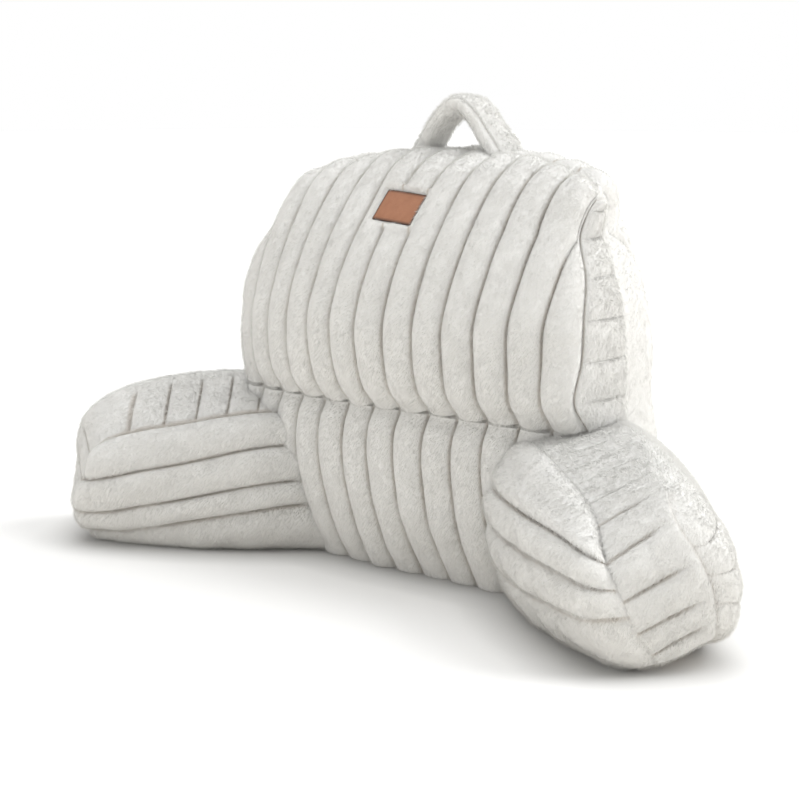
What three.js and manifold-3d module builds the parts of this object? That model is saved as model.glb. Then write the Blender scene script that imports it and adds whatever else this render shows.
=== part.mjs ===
// Backrest pillow of short-pile plush: a stuffed back cushion whose head roll hangs over a sewn waist, two
// stuffed arms that spread forward, channelled strips round the cushion's sides and the arms, a padded carry
// handle on the crown seam and a bare leather patch. Millimetres, +Z up, and the sitter faces -Y.

import * as THREE from 'three';
import { mergeVertices } from 'three/addons/utils/BufferGeometryUtils.js';
import Module from 'manifold-3d';

const wasm = await Module();
wasm.setup();

const { lerp, clamp, degToRad } = THREE.MathUtils;

// A table's rows as objects with named values.
const named = (names, rows) => rows.map((row) => Object.fromEntries(names.map((name, i) => [name, row[i]])));

// Driving dimensions.
const GAP = 0.3;                  // clear distance between neighbouring pieces
const CHANNEL = 37.5;             // pitch of the sewn channels on the cushion's front and back
const WHOLE_CHANNELS = 11;        // channels of full width; a tapering one is left on each side of them
const CHANNEL_SHIFT = 3;          // how far to the right of the middle the middle channel lies
const CHANNEL_DEPTH = 11;         // height of a channel's crest over its seams
const FRONT_FULLNESS = 0.62;      // crown exponents: the lower, the squarer the pad towards its sides
const BACK_FULLNESS = 0.36;
const STRIP = 10;                 // thickness of the channelled strips
const STRIP_DEPTH = 5;            // height of their channels' crests
const STRIP_MARGIN = 0.04;        // share of a strip's width that its seams take up on each side

// The back cushion, level by level from its base to its crown seam: its two panels in the middle, the front
// seam of its side strip on the left and on the right, where the arm pushes it forward, the strip's back
// seam, and the distance of those seams from the middle.
const LEVEL_NAMES = ['frontY', 'frontZ', 'backY', 'backZ', 'leftY', 'rightY', 'seamBackY', 'seamZ', 'half'];
const LEVELS = named(LEVEL_NAMES, [
  [8, 0, 200, 0, 26, 26, 96, 0, 234],
  [-14, 38, 207, 42, 16, 12, 88, 42, 240],
  [-32, 82, 201, 84, 8, 0, 80, 84, 243],
  [-39, 126, 191, 124, 4, -8, 72, 122, 244],
  [-37, 162, 183, 161, 5, -10, 66, 158, 244],
  [-27, 189, 178, 193, 10, -8, 60, 186, 243],
  [-49, 216, 173, 225, 8, -34, 56, 219, 244],
  [-58, 253, 169, 263, 8, -24, 52, 258, 245],
  [-57, 288, 165, 303, 8, -17, 50, 298, 242],
  [-38, 335, 160, 348, 12, 4, 51, 338, 229],
  [-6, 384, 152, 394, 20, 22, 56, 374, 209],
  [40, 433, 136, 436, 38, 38, 62, 400, 207],
  [92, 455, 92, 455, 54, 54, 54, 412, 206.5],
]);
const WAIST_LEVEL = 5;            // the level where the front is sewn in under the head roll

// The seams of the band that wraps an arm, in the arm's own frame: reach runs out along the arm, q across it
// to the outside, z up. Each row is a place on the band's inner and outer seam: over the arm's top, round its
// end and back underneath. The stuffing has settled differently in the two arms.
const ARM_NAMES = ['innerReach', 'innerQ', 'innerZ', 'outerReach', 'outerQ', 'outerZ'];
const ARM_SEAMS = {
  left: named(ARM_NAMES, [
    [-20, -66, 145, -20, 20, 160],
    [80, -82, 156, 80, 22, 184],
    [170, -66, 141, 170, 22, 184],
    [250, -54, 124, 250, 22, 168],
    [273, -52, 107, 294, 22, 142],
    [287, -45, 80, 309, 36, 108],
    [305, -32, 46, 302, 48, 68],
    [288, -18, 16, 280, 54, 26],
    [210, -40, 2, 210, 62, 8],
    [100, -68, 0, 100, 64, 2],
    [-20, -66, 0, -20, 40, 2],
  ]),
  right: named(ARM_NAMES, [
    [-20, -54, 152, -20, 20, 158],
    [80, -66, 166, 80, 22, 184],
    [170, -58, 158, 170, 22, 184],
    [250, -44, 137, 250, 20, 168],
    [294, -44, 105, 292, 17, 144],
    [308, -34, 76, 306, 34, 113],
    [304, -19, 44, 302, 50, 79],
    [284, 1, 12, 284, 58, 38],
    [210, -26, 0, 210, 64, 8],
    [100, -52, 0, 100, 66, 2],
    [-20, -52, 0, -20, 40, 2],
  ]),
};
const ARM_TOP_ROW = 4;                // the rows where the seams turn from the top to the end, and underneath
const ARM_FOOT_ROW = 7;
const ARM_ROOT = { x: 174, y: 77 };   // where the right arm's own frame stands
const ARM_SPLAY = 49;                 // degrees from straight forward
const INNER_BELLY = { left: 34, right: 42 };   // how far the side panels swell past the band's seams
const OUTER_BELLY = 42;
const OUTER_DEPTH = 0.3;              // the outer side's channels are this much shallower than the others

// How high the plush stands along the band's seams: on the arm's top, and round its end. It changes between
// the two rows of LIFT_CHANGE.
const SEAM_LIFT = {
  left: { inner: [4, 4], outer: [7, 6] },
  right: { inner: [9, 5], outer: [7.5, 4] },
};
const LIFT_CHANGE = [2.4, 4];

// Where the seams between the band's channels run, as rows of its table.
const BAND_SEAMS = {
  left: [0, 0.35, 0.77, 1.08, 1.46, 1.87, 2.3, 2.8, 4.4, 5.3, 6.2, 7],
  right: [0, 0.44, 0.89, 1.33, 1.75, 2.15, 2.45, 2.85, 3.3, 4, 5.05, 5.95, 6.6, 7],
};

// The rows between which the band's mesh is divided evenly: over the arm's top, and round its end.
const TOP_STOPS = {
  left: [0, 0.35, 0.77, 1.08, 1.46, 1.87, 2.3, 2.8, 3.4, 4],
  right: [0, 0.44, 0.89, 1.33, 1.75, 2.15, 2.45, 2.85, 3.3, 4],
};
const END_STOPS = { left: [4, 4.4, 5.3, 6.2, 7], right: [4, 5.05, 5.95, 6.6, 7] };

// The seams between the lengthwise channels of the side panels: heights as shares of the panel's, at the
// arm's root, half-way and at its end.
const QUARTERS = [0, 0.25, 0.5, 0.75, 1].map((height) => [height, height, height]);
const SIDE_SEAMS = {
  left: {
    inner: [[0, 0, 0], [0.44, 0.25, 0.06], [0.62, 0.43, 0.27], [0.86, 0.71, 0.61], [1, 1, 1]],
    outer: QUARTERS,
  },
  right: {
    inner: [[0, 0, 0], [0.25, 0.27, 0.52], [0.52, 0.53, 0.76], [0.74, 0.74, 0.98], [1, 1, 1]],
    outer: QUARTERS,
  },
};

// The carry handle's line from one end to the other over the crown seam, and its width: it is folded narrower
// on the left.
const HANDLE_LINE = named(['x', 'z', 'width'], [
  [-66, 438, 32],
  [-52, 458, 31],
  [-38, 477, 33],
  [-24, 492, 39],
  [-9, 503, 46],
  [7, 506, 50],
  [22, 497, 51],
  [37, 480, 51],
  [52, 460, 51],
  [64, 438, 51],
]);
const HANDLE = { y: 98, thick: 20, steps: 27, sides: 12 };

// The patch, with its place on the roll and the height of one level of the roll there.
const PATCH = { width: 57, height: 29, thick: 1.8, x: -8, level: 10.2, levelHeight: 50, turn: -4.5 };

// Helpers -----------------------------------------------------------------------------------------------

// Value of every column of a table at a fractional row, on a smooth curve through the rows.
function tableAt(table, row) {
  const last = table.length - 1;
  const at = Math.min(Math.floor(row), last - 1);
  const t = row - at;
  const rows = [at - 1, at, at + 1, at + 2].map((i) => table[clamp(i, 0, last)]);
  const value = {};
  for (const name of Object.keys(table[0])) {
    const [a, b, c, d] = rows.map((each) => each[name]);
    value[name] = b + 0.5 * t * (c - a + t * (2 * a - 5 * b + 4 * c - d + t * (3 * (b - c) + d - a)));
  }
  return value;
}

// Evenly spaced numbers from one to another, both included.
const steps = (from, to, count) => Array.from({ length: count + 1 }, (_, i) => lerp(from, to, i / count));

// Round-topped channel between two seams: 0 on a seam, 1 on the crest.
function channel(phase) {
  const across = 2 * (phase - Math.floor(phase)) - 1;
  return Math.sqrt(Math.max(0, 1 - across * across));
}

// Places that divide each span between stops evenly.
function divided(stops, count) {
  const spans = stops.slice(1).map((stop, i) => steps(stops[i], stop, count).slice(1));
  return [stops[0], ...spans.flat()];
}

// Swell of a pad between its two edges: 0 at 0 and at 1, 1 in the middle.
const swell = (t) => Math.sqrt(Math.max(0, 4 * t * (1 - t)));

// The surface raised by relief(u, v) along its normal, never below the floor. side -1 turns the normal.
function raised(surface, relief, side = 1) {
  const step = 1e-3;
  return (u, v) => {
    const du = surface(Math.min(1, u + step), v).sub(surface(Math.max(0, u - step), v));
    const dv = surface(u, Math.min(1, v + step)).sub(surface(u, Math.max(0, v - step)));
    const point = surface(u, v).addScaledVector(du.cross(dv).normalize(), side * relief(u, v));
    point.z = Math.max(0, point.z);
    return point;
  };
}

// Triangles of a grid on a surface, as a list of corners; flip turns their faces round.
function gridTriangles(surface, columns, rows, flip = false) {
  const corners = [];
  for (let i = 0; i + 1 < columns.length; i += 1) {
    for (let j = 0; j + 1 < rows.length; j += 1) {
      const a = surface(columns[i], rows[j]);
      const b = surface(columns[i + 1], rows[j]);
      const c = surface(columns[i + 1], rows[j + 1]);
      const d = surface(columns[i], rows[j + 1]);
      corners.push(...(flip ? [a, c, b, a, d, c] : [a, b, c, a, c, d]));
    }
  }
  return corners;
}

// Triangles of a slab between an under and an upper surface; flip turns their faces round.
function slabTriangles(under, upper, columns, rows, flip = false) {
  const through = [0, 1];
  const [first, last] = [columns[0], columns.at(-1)];
  const [low, high] = [rows[0], rows.at(-1)];
  const edge = (at) => (t, w) => under(...at(t)).lerp(upper(...at(t)), w);
  return [
    ...gridTriangles(upper, columns, rows, flip),
    ...gridTriangles(under, columns, rows, !flip),
    ...gridTriangles(edge((u) => [u, low]), columns, through, flip),
    ...gridTriangles(edge((u) => [u, high]), columns, through, !flip),
    ...gridTriangles(edge((v) => [first, v]), rows, through, !flip),
    ...gridTriangles(edge((v) => [last, v]), rows, through, flip),
  ];
}

// One closed geometry from triangles, without those that have shrunk to a line.
function solidFrom(corners) {
  const kept = [];
  for (let i = 0; i < corners.length; i += 3) {
    const [a, b, c] = corners.slice(i, i + 3);
    const smallest = Math.min(a.distanceTo(b), b.distanceTo(c), c.distanceTo(a));
    if (smallest > 0.01) kept.push(a, b, c);
  }
  return mergeVertices(new THREE.BufferGeometry().setFromPoints(kept), 0.005);
}

function toManifold(geometry) {
  const vertProperties = new Float32Array(geometry.attributes.position.array);
  const triVerts = new Uint32Array(geometry.index.array);
  return new wasm.Manifold(new wasm.Mesh({ numProp: 3, vertProperties, triVerts }));
}

function fromManifold(manifold) {
  const mesh = manifold.getMesh();
  const geometry = new THREE.BufferGeometry();
  geometry.setAttribute('position', new THREE.BufferAttribute(new Float32Array(mesh.vertProperties), 3));
  geometry.setIndex(new THREE.BufferAttribute(new Uint32Array(mesh.triVerts), 1));
  return geometry;
}

// Back cushion ------------------------------------------------------------------------------------------

const TOP_LEVEL = LEVELS.length - 1;
const GUSSET_COLUMNS = 3;

// The cushion's rows, as shares of its height: closer together from the waist up, and closest on the crown.
const CUSHION_ROWS = [...steps(0, 3, 3), ...steps(4, 11, 14), ...steps(11.33, TOP_LEVEL, 2)]
  .map((level) => level / TOP_LEVEL);

// The cushion's columns: three to a channel, with a seam between channels on every third.
const LAST_SEAM = WHOLE_CHANNELS / 2;
const CUSHION_COLUMNS = steps(0, 1, 3 * (WHOLE_CHANNELS + 2));
const phaseAt = (u) => (2 * u - 1) * (LAST_SEAM + 1);

const levelAt = (v) => tableAt(LEVELS, (1 - Math.abs(2 * v - 1)) * TOP_LEVEL);

// A panel of the cushion: u from the left seam to the right one, v from the base to the crown.
function panel(yName, zName, leftName, rightName, fullness) {
  return (u, v) => {
    const level = tableAt(LEVELS, v * TOP_LEVEL);
    const s = 2 * u - 1;
    const fill = Math.max(0, 1 - s * s) ** fullness;
    const y = lerp(lerp(level[leftName], level[rightName], u), level[yName], fill);
    const z = lerp(level.seamZ, level[zName], fill);
    return new THREE.Vector3(s * level.half, y, z);
  };
}
const frontPanel = panel('frontY', 'frontZ', 'leftY', 'rightY', FRONT_FULLNESS);
const backPanel = panel('backY', 'backZ', 'seamBackY', 'seamBackY', BACK_FULLNESS);

// Both panels as one sheet: v runs up the front, over the crown seam at the middle and down the back.
const cushionSheet = (u, v) => (v < 0.5 ? frontPanel(u, 2 * v) : backPanel(u, 2 - 2 * v));

// Widths of the whole channels together and of the tapering one on the same side, at half a level's width.
function channelWidths(phase, half) {
  const room = half - Math.sign(phase) * CHANNEL_SHIFT;
  const whole = Math.min(LAST_SEAM * CHANNEL, room - 1);
  return [whole, room - whole];
}

// The sheet laid out by its channels, which run straight up: the panel's seams cut the outermost to wedges.
function channelledSheet(u, v) {
  const { half } = levelAt(v);
  const phase = phaseAt(u);
  const [whole, wedge] = channelWidths(phase, half);
  const beyond = Math.max(0, Math.abs(phase) - LAST_SEAM);
  const inner = (clamp(phase, -LAST_SEAM, LAST_SEAM) * whole) / LAST_SEAM + CHANNEL_SHIFT;
  const x = inner + Math.sign(phase) * beyond * wedge;
  return cushionSheet(clamp(0.5 + (0.5 * x) / half, 0, 1), v);
}

// The channels' relief: the crown seam and the waist seam draw them in.
function cushionRelief(u, v) {
  const phase = phaseAt(u);
  const [, wedge] = channelWidths(phase, levelAt(v).half);
  const width = Math.abs(phase) > LAST_SEAM ? Math.min(CHANNEL, wedge) : CHANNEL;
  const crownSeam = Math.min(1, Math.sqrt(Math.abs(v - 0.5) * 12));
  const toWaist = Math.abs(2 * v * TOP_LEVEL - WAIST_LEVEL);
  const waistSeam = Math.min(1, Math.sqrt(toWaist / 0.3));
  return CHANNEL_DEPTH * channel(phase + LAST_SEAM) * (width / CHANNEL) * crownSeam * waistSeam;
}

// The filled cushion, with flat sides for its strips, grown by a clearance where other pieces are cut to it.
function cushionGeometry(grow = 0) {
  const sheet = raised(channelledSheet, (u, v) => cushionRelief(u, v) + grow);
  const base = (u, v) => sheet(u, 0).lerp(sheet(u, 1), v);
  const side = (u) => (w, v) => sheet(u, v / 2).lerp(sheet(u, 1 - v / 2), w);
  const through = steps(0, 1, GUSSET_COLUMNS);
  const up = CUSHION_ROWS.map((v) => v / 2);
  const down = up.map((v) => 1 - v).reverse();
  return solidFrom([
    ...gridTriangles(sheet, CUSHION_COLUMNS, [...up, ...down.slice(1)]),
    ...gridTriangles(base, CUSHION_COLUMNS, through, true),
    ...gridTriangles(side(1), through, CUSHION_ROWS),
    ...gridTriangles(side(0), through, CUSHION_ROWS, true),
  ]);
}

// The channelled strip sewn into a side of the cushion: side 1 is the right one, -1 the left one.
function gussetGeometry(side, grow = 0) {
  const channels = TOP_LEVEL;
  const strip = (raise) => (u, v) => {
    const level = tableAt(LEVELS, v * TOP_LEVEL);
    const y = lerp(side > 0 ? level.rightY : level.leftY, level.seamBackY, u);
    return new THREE.Vector3(side * (level.half + raise(u, v)), y, level.seamZ);
  };
  const crest = (u, v) => STRIP - STRIP_DEPTH + STRIP_DEPTH * channel(v * channels);
  const under = strip(() => GAP - grow);
  const upper = strip((u, v) => GAP + 1 + crest(u, v) * swell(u) + grow);
  const margin = STRIP_MARGIN - grow / LEVELS[TOP_LEVEL - 1].seamBackY;
  const columns = steps(margin, 1 - margin, GUSSET_COLUMNS);
  const ends = 0.02 - grow / LEVELS[TOP_LEVEL - 1].seamZ;
  const rows = [ends, ...steps(0.5, channels - 0.5, 2 * channels - 2).map((level) => level / channels), 1 - ends];
  return solidFrom(slabTriangles(under, upper, columns, rows, side < 0));
}

// Arms --------------------------------------------------------------------------------------------------

const TOP_STEPS = 2;                // steps of the mesh between two stops over the arm's top
const END_STEPS = 4;                // and round its end
const SIDE_STEPS = 4;               // and to a channel of a side panel
const ARM_LAST_ROW = ARM_SEAMS.left.length - 1;
const DIP = STRIP_DEPTH;            // how deep the bed of the band lies below its seams

// The band's columns from its inner seam to its outer one, and how far its bed is sunk at each.
const BAND_COLUMNS = [0, 1 / 3, 2 / 3, 1];
const sunk = (across) => Math.min(1, 3 * Math.min(across, 1 - across));

// A value that changes from the arm's top to its end.
const byRow = ([top, end], row) => lerp(top, end, THREE.MathUtils.smoothstep(row, ...LIFT_CHANGE));

// A seam of the band, lifted to where the plush on it meets the side panel's.
function seamAt(arm, edge, row) {
  const sides = (place) => ['inner', 'outer'].map((name) => (
    new THREE.Vector3(place[`${name}Q`], place[`${name}Reach`], place[`${name}Z`])
  ));
  const [inner, outer] = sides(tableAt(ARM_SEAMS[arm], row));
  const [nextInner, nextOuter] = sides(tableAt(ARM_SEAMS[arm], row + 0.01));
  const along = nextInner.add(nextOuter).sub(inner).sub(outer);
  const out = outer.clone().sub(inner).cross(along).normalize();
  const seam = (edge === 'inner' ? inner : outer).addScaledVector(out, byRow(SEAM_LIFT[arm][edge], row));
  seam.z = Math.max(0, seam.z);
  return seam;
}

// Rows of the band's seams at the mesh's columns along a side panel, and at its rows round the arm's end.
const topRows = (arm) => divided(TOP_STOPS[arm], TOP_STEPS);
const endRows = (arm) => divided(END_STOPS[arm], END_STEPS);

// A side panel of the arm, blended from its four sides and swollen: u from the root to the end, v from the
// foot to the top.
function sidePanel(arm, edge, belly) {
  const top = (u) => seamAt(arm, edge, lerp(0, ARM_TOP_ROW, u));
  const end = (v) => seamAt(arm, edge, lerp(ARM_FOOT_ROW, ARM_TOP_ROW, v));
  const foot = (u) => seamAt(arm, edge, lerp(ARM_LAST_ROW, ARM_FOOT_ROW, u));
  const root = (v) => foot(0).lerp(top(0), v);
  return (u, v) => {
    const alongSeams = foot(u).lerp(top(u), v);
    const alongEnds = root(v).lerp(end(v), u);
    const corners = foot(0).lerp(foot(1), u).lerp(top(0).lerp(top(1), u), v);
    const out = belly * (0.8 + 0.4 * u) * swell(v) * Math.sqrt(1 - u ** 4);
    return alongSeams.add(alongEnds).sub(corners).add(new THREE.Vector3(out, 0, 0));
  };
}

// Height of a seam between the side panel's channels, on a curve through its three places.
function seamHeight([root, middle, end], u) {
  return root + u * (4 * middle - 3 * root - end) + u * u * 2 * (root + end - 2 * middle);
}

// The side panel laid out by its channels: t from the foot's channel to the top's. At the arm's end it meets
// the rows of the band.
function channelledPanel(arm, edge, belly) {
  const surface = sidePanel(arm, edge, belly);
  const seams = SIDE_SEAMS[arm][edge];
  const rows = endRows(arm).reverse();
  const heightAt = (u, t) => {
    const phase = t * (seams.length - 1);
    const at = Math.min(Math.floor(phase), seams.length - 2);
    if (u < 1) return lerp(seamHeight(seams[at], u), seamHeight(seams[at + 1], u), phase - at);
    const place = t * (rows.length - 1);
    const before = Math.min(Math.floor(place), rows.length - 2);
    const row = lerp(rows[before], rows[before + 1], place - before);
    return (ARM_FOOT_ROW - row) / (ARM_FOOT_ROW - ARM_TOP_ROW);
  };
  return (u, t) => surface(u, heightAt(u, t));
}

// The band's own sheet: u along it from the root, over the end and back underneath, v from the inner seam to
// the outer one.
const bandSheet = (arm) => (u, v) => {
  const row = u * ARM_LAST_ROW;
  return seamAt(arm, 'inner', row).lerp(seamAt(arm, 'outer', row), v);
};

// Which channel of the band a row is in, and how far through it.
function bandPhase(seams, row) {
  const at = clamp(seams.findLastIndex((seam) => seam <= row), 0, seams.length - 2);
  return at + (row - seams[at]) / (seams[at + 1] - seams[at]);
}

// Triangles moved from the arm's own frame to where it lies. The right arm's frame is mirrored, so its
// triangles are turned round.
function placedArm(corners, side) {
  const splay = degToRad(ARM_SPLAY);
  const [sin, cos] = [Math.sin(splay), Math.cos(splay)];
  const placed = corners.map(({ x: q, y: reach, z }) => new THREE.Vector3(
    side * (ARM_ROOT.x + reach * sin + q * cos),
    ARM_ROOT.y - reach * cos + q * sin,
    z,
  ));
  return side > 0 ? placed.reverse() : placed;
}

// The filled arm, with a bed sunk into it where its band lies.
function armTriangles(arm) {
  const channels = SIDE_SEAMS[arm].inner.length - 1;
  const endSeam = (u) => Math.min(1, 8 * (1 - u), 8 * u);
  const relief = (share) => (u, t) => share * CHANNEL_DEPTH * endSeam(u) * channel(t * channels);
  const inner = raised(channelledPanel(arm, 'inner', -INNER_BELLY[arm]), relief(1), -1);
  const outer = raised(channelledPanel(arm, 'outer', OUTER_BELLY), relief(OUTER_DEPTH));
  const underBand = (u) => u > 0 && u * ARM_LAST_ROW < ARM_FOOT_ROW + 0.01;
  const bed = raised(bandSheet(arm), (u, v) => (underBand(u) ? -DIP * sunk(v) : 0), -1);
  const root = (t, w) => inner(0, t).lerp(outer(0, t), w);

  const over = topRows(arm);
  const along = over.map((row) => row / ARM_TOP_ROW);
  const under = along.slice(0, -1).reverse().map((u) => lerp(ARM_LAST_ROW, ARM_FOOT_ROW, u));
  const round = [...over, ...endRows(arm).slice(1), ...under].map((row) => row / ARM_LAST_ROW);
  const up = steps(0, 1, SIDE_STEPS * channels);
  return [
    ...gridTriangles(inner, along, up, true),
    ...gridTriangles(outer, along, up),
    ...gridTriangles(bed, round, BAND_COLUMNS, true),
    ...gridTriangles(root, up, BAND_COLUMNS, true),
  ];
}

// The channelled band over the arm's top and round its end, down to the floor.
function bandTriangles(arm) {
  const crest = (u) => channel(bandPhase(BAND_SEAMS[arm], u * ARM_LAST_ROW));
  const lift = (edge, u) => byRow(SEAM_LIFT[arm][edge], u * ARM_LAST_ROW);
  const height = (u, v) => {
    const crown = STRIP - lerp(lift('inner', u), lift('outer', u), v);
    return Math.max(0, crown - STRIP_DEPTH * (1 - crest(u))) * swell(v);
  };
  const clear = GAP + 0.5;
  const under = raised(bandSheet(arm), (u, v) => clear - DIP * sunk(v), -1);
  const upper = raised(bandSheet(arm), (u, v) => clear + 1 + height(u, v), -1);
  const rows = [...topRows(arm), ...endRows(arm).slice(1)].map((row) => row / ARM_LAST_ROW);
  const columns = [STRIP_MARGIN, ...BAND_COLUMNS.slice(1, -1), 1 - STRIP_MARGIN];
  return slabTriangles(under, upper, rows, columns, true);
}

// Handle and patch --------------------------------------------------------------------------------------

// Closes a tube's ring of points with a fan about its middle.
function fan(ring, flip) {
  const middle = ring.reduce((sum, point) => sum.add(point), new THREE.Vector3()).divideScalar(ring.length);
  return ring.flatMap((point, i) => {
    const next = ring[(i + 1) % ring.length];
    return flip ? [middle, next, point] : [middle, point, next];
  });
}

// A padded strap along the handle's line, with a rounded section; both of its ends are cut to the crown.
function handleGeometry() {
  const last = HANDLE_LINE.length - 1;
  const signedPower = (value, power) => Math.sign(value) * Math.abs(value) ** power;
  const ringAt = (u) => {
    const row = u * last;
    const { x, z, width } = tableAt(HANDLE_LINE, row);
    const ahead = tableAt(HANDLE_LINE, row + 0.01);
    const along = new THREE.Vector3(ahead.x - x, 0, ahead.z - z).normalize();
    const out = new THREE.Vector3(-along.z, 0, along.x);
    return steps(0, 2 * Math.PI, HANDLE.sides).slice(1).map((turn) => {
      const across = (width / 2) * signedPower(Math.cos(turn), 0.7);
      const raise = (HANDLE.thick / 2) * signedPower(Math.sin(turn), 0.8);
      return new THREE.Vector3(x, HANDLE.y + across, z).addScaledVector(out, raise);
    });
  };
  const rings = steps(0, 1, HANDLE.steps).map(ringAt);
  const tube = rings.slice(1).flatMap((ring, i) => ring.flatMap((point, k) => {
    const before = rings[i];
    const next = (k + 1) % ring.length;
    return [before[k], ring[next], point, before[k], before[next], ring[next]];
  }));
  return solidFrom([...tube, ...fan(rings[0], true), ...fan(rings.at(-1), false)]);
}

// The patch lies on the crests of the cushion's faceted channels and follows the roll.
function patchGeometry() {
  const turn = degToRad(PATCH.turn);
  const onRoll = (lift) => (u, v) => {
    const across = (u - 0.5) * PATCH.width;
    const up = (v - 0.5) * PATCH.height;
    const x = PATCH.x + across * Math.cos(turn) - up * Math.sin(turn);
    const level = PATCH.level + (across * Math.sin(turn) + up * Math.cos(turn)) / PATCH.levelHeight;
    const { half } = tableAt(LEVELS, level);
    const lifted = raised(cushionSheet, () => lift);
    return lifted(0.5 + (0.5 * x) / half, (0.5 * level) / TOP_LEVEL);
  };
  const crest = CHANNEL_DEPTH * channel(1 / 3);
  const under = onRoll(crest + GAP);
  const upper = onRoll(crest + GAP + PATCH.thick);
  return solidFrom(slabTriangles(under, upper, steps(0, 1, 5), steps(0, 1, 4)));
}

// Assembly ----------------------------------------------------------------------------------------------

const plush = new THREE.MeshStandardMaterial({ color: 0xeeeae2, roughness: 0.95, metalness: 0 });
const leather = new THREE.MeshStandardMaterial({ color: 0x9a5c3a, roughness: 0.55, metalness: 0 });

const pillow = new THREE.Group();

function addPiece(name, geometry, material) {
  const mesh = new THREE.Mesh(geometry, material);
  mesh.name = name;
  pillow.add(mesh);
}

// The cushion and its side strips, grown by the gap, are what the arms and the handle are cut to.
const clearance = [-1, 1].reduce(
  (cutter, side) => cutter.add(toManifold(gussetGeometry(side, GAP))),
  toManifold(cushionGeometry(GAP)),
);
const trimmed = (geometry) => fromManifold(toManifold(geometry).subtract(clearance));

addPiece('back_cushion', cushionGeometry(), plush);
for (const [name, side] of [['left', -1], ['right', 1]]) {
  addPiece(`side_gusset_${name}`, gussetGeometry(side), plush);
  addPiece(`arm_${name}`, trimmed(solidFrom(placedArm(armTriangles(name), side))), plush);
  addPiece(`arm_band_${name}`, trimmed(solidFrom(placedArm(bandTriangles(name), side))), plush);
}
addPiece('carry_handle', trimmed(handleGeometry()), plush);
addPiece('leather_patch', patchGeometry(), leather);

// The origin is the middle of the pillow's footprint.
const extent = new THREE.Box3().setFromObject(pillow);
pillow.position.set(0, -extent.getCenter(new THREE.Vector3()).y, 0);

export default pillow;
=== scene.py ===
import math

import bpy
import numpy as np
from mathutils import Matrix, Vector
from mathutils.bvhtree import BVHTree


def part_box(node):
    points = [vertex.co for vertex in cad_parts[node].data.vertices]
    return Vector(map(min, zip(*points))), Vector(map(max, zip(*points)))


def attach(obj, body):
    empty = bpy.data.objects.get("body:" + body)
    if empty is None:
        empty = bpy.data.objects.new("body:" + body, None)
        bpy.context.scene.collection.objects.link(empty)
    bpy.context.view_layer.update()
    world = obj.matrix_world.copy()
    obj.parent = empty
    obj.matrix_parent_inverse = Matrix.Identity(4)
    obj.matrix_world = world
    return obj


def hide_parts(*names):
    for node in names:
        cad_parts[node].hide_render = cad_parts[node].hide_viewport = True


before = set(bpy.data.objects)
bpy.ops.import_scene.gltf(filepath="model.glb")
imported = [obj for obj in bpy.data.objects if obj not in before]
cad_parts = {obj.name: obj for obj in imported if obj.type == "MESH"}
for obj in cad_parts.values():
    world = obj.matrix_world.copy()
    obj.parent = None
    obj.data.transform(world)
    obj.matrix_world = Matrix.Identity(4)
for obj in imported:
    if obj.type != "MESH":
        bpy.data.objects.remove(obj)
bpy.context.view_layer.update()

# The plush pillow's surfaces are worked out in millimetres from the tables below and laid on the packed
# nodes by lay(). Everything that is uneven comes from seeded waves, so each run gives the same pillow.

MM = 0.001

# Sewn channels -----------------------------------------------------------------------------------------

CHANNEL = 37.5             # pitch of the channels on the cushion
WHOLE_CHANNELS = 11        # channels of full width; a tapering one is left on each side of them
LAST_SEAM = WHOLE_CHANNELS / 2
WEDGE_FULLNESS = 0.7       # exponent that lowers the tapering ones' crests with their width
WEDGE_CLOSED = (5, 16)     # widths from which and to which the seam beside a tapering one opens
CHANNEL_SHIFT = 3.0        # how far to the right of the middle the middle channel lies
CHANNEL_DEPTH = 11.0       # height of a channel's crest over its seams
CHANNEL_ROUNDNESS = 2.15   # exponent of a channel's section: 2 is a half circle, more is squarer
FRONT_FULLNESS = 0.62      # crown exponents: the lower, the squarer the pad towards its sides
BACK_FULLNESS = 0.36
STRIP = 10.0               # thickness of the channelled strips
STRIP_DEPTH = 6.0          # height of their channels' crests
STRIP_MARGIN = 0.03        # share of a strip's width that its seams take up on each side
SEAM_SHADE = 4.5           # how far from a seam the plush is still in its shade
WAIST_LEVEL = 5            # the row of the table below where the front is sewn in under the head roll
WAIST_GROOVE = 2.5         # how deep that seam draws the plush in
WAIST_REACH = 0.16         # and over how many levels
CROWN_REACH = 0.5          # over how many levels the crown seam draws the channels in
SEAM_DRIFT = 1.3           # how far the channels' seams wander from straight
# Painted shade: the lower a tone, the darker the plush's colour there, as shade along these seams.
WAIST_TONE = 0.3           # tones along that seam and along the cushion's side and crown seams: the plush
SIDE_SEAM_TONE = 0.8       # almost closes over the last two

# The back cushion from its base to its crown seam: its two panels in the middle, the front seam of its side
# strip on the left and on the right, where the arm pushes it forward, the strip's back seam, and the
# distance of those seams from the middle.
LEVEL_COLUMNS = (
    "front_y", "front_z", "back_y", "back_z", "left_y", "right_y", "seam_back_y", "seam_z", "half",
)
LEVELS = np.array([
    (8, 0, 200, 0, 26, 26, 96, 0, 234),
    (-14, 38, 207, 42, 16, 12, 88, 42, 240),
    (-32, 82, 201, 84, 8, 0, 80, 84, 243),
    (-39, 126, 191, 124, 4, -8, 72, 122, 244),
    (-37, 162, 183, 161, 5, -10, 66, 158, 244),
    (-27, 189, 178, 193, 10, -8, 60, 186, 243),
    (-49, 216, 173, 225, 8, -34, 56, 219, 244),
    (-58, 253, 169, 263, 8, -24, 52, 258, 245),
    (-57, 288, 165, 303, 8, -17, 50, 298, 242),
    (-38, 335, 160, 348, 12, 4, 51, 338, 229),
    (-6, 384, 152, 394, 20, 22, 56, 374, 209),
    (40, 433, 136, 436, 38, 38, 62, 400, 207),
    (92, 455, 92, 455, 54, 54, 54, 412, 206.5),
], dtype=float)
TOP_LEVEL = len(LEVELS) - 1
LEVEL_HEIGHT = 38.0        # of one level, about

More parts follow.
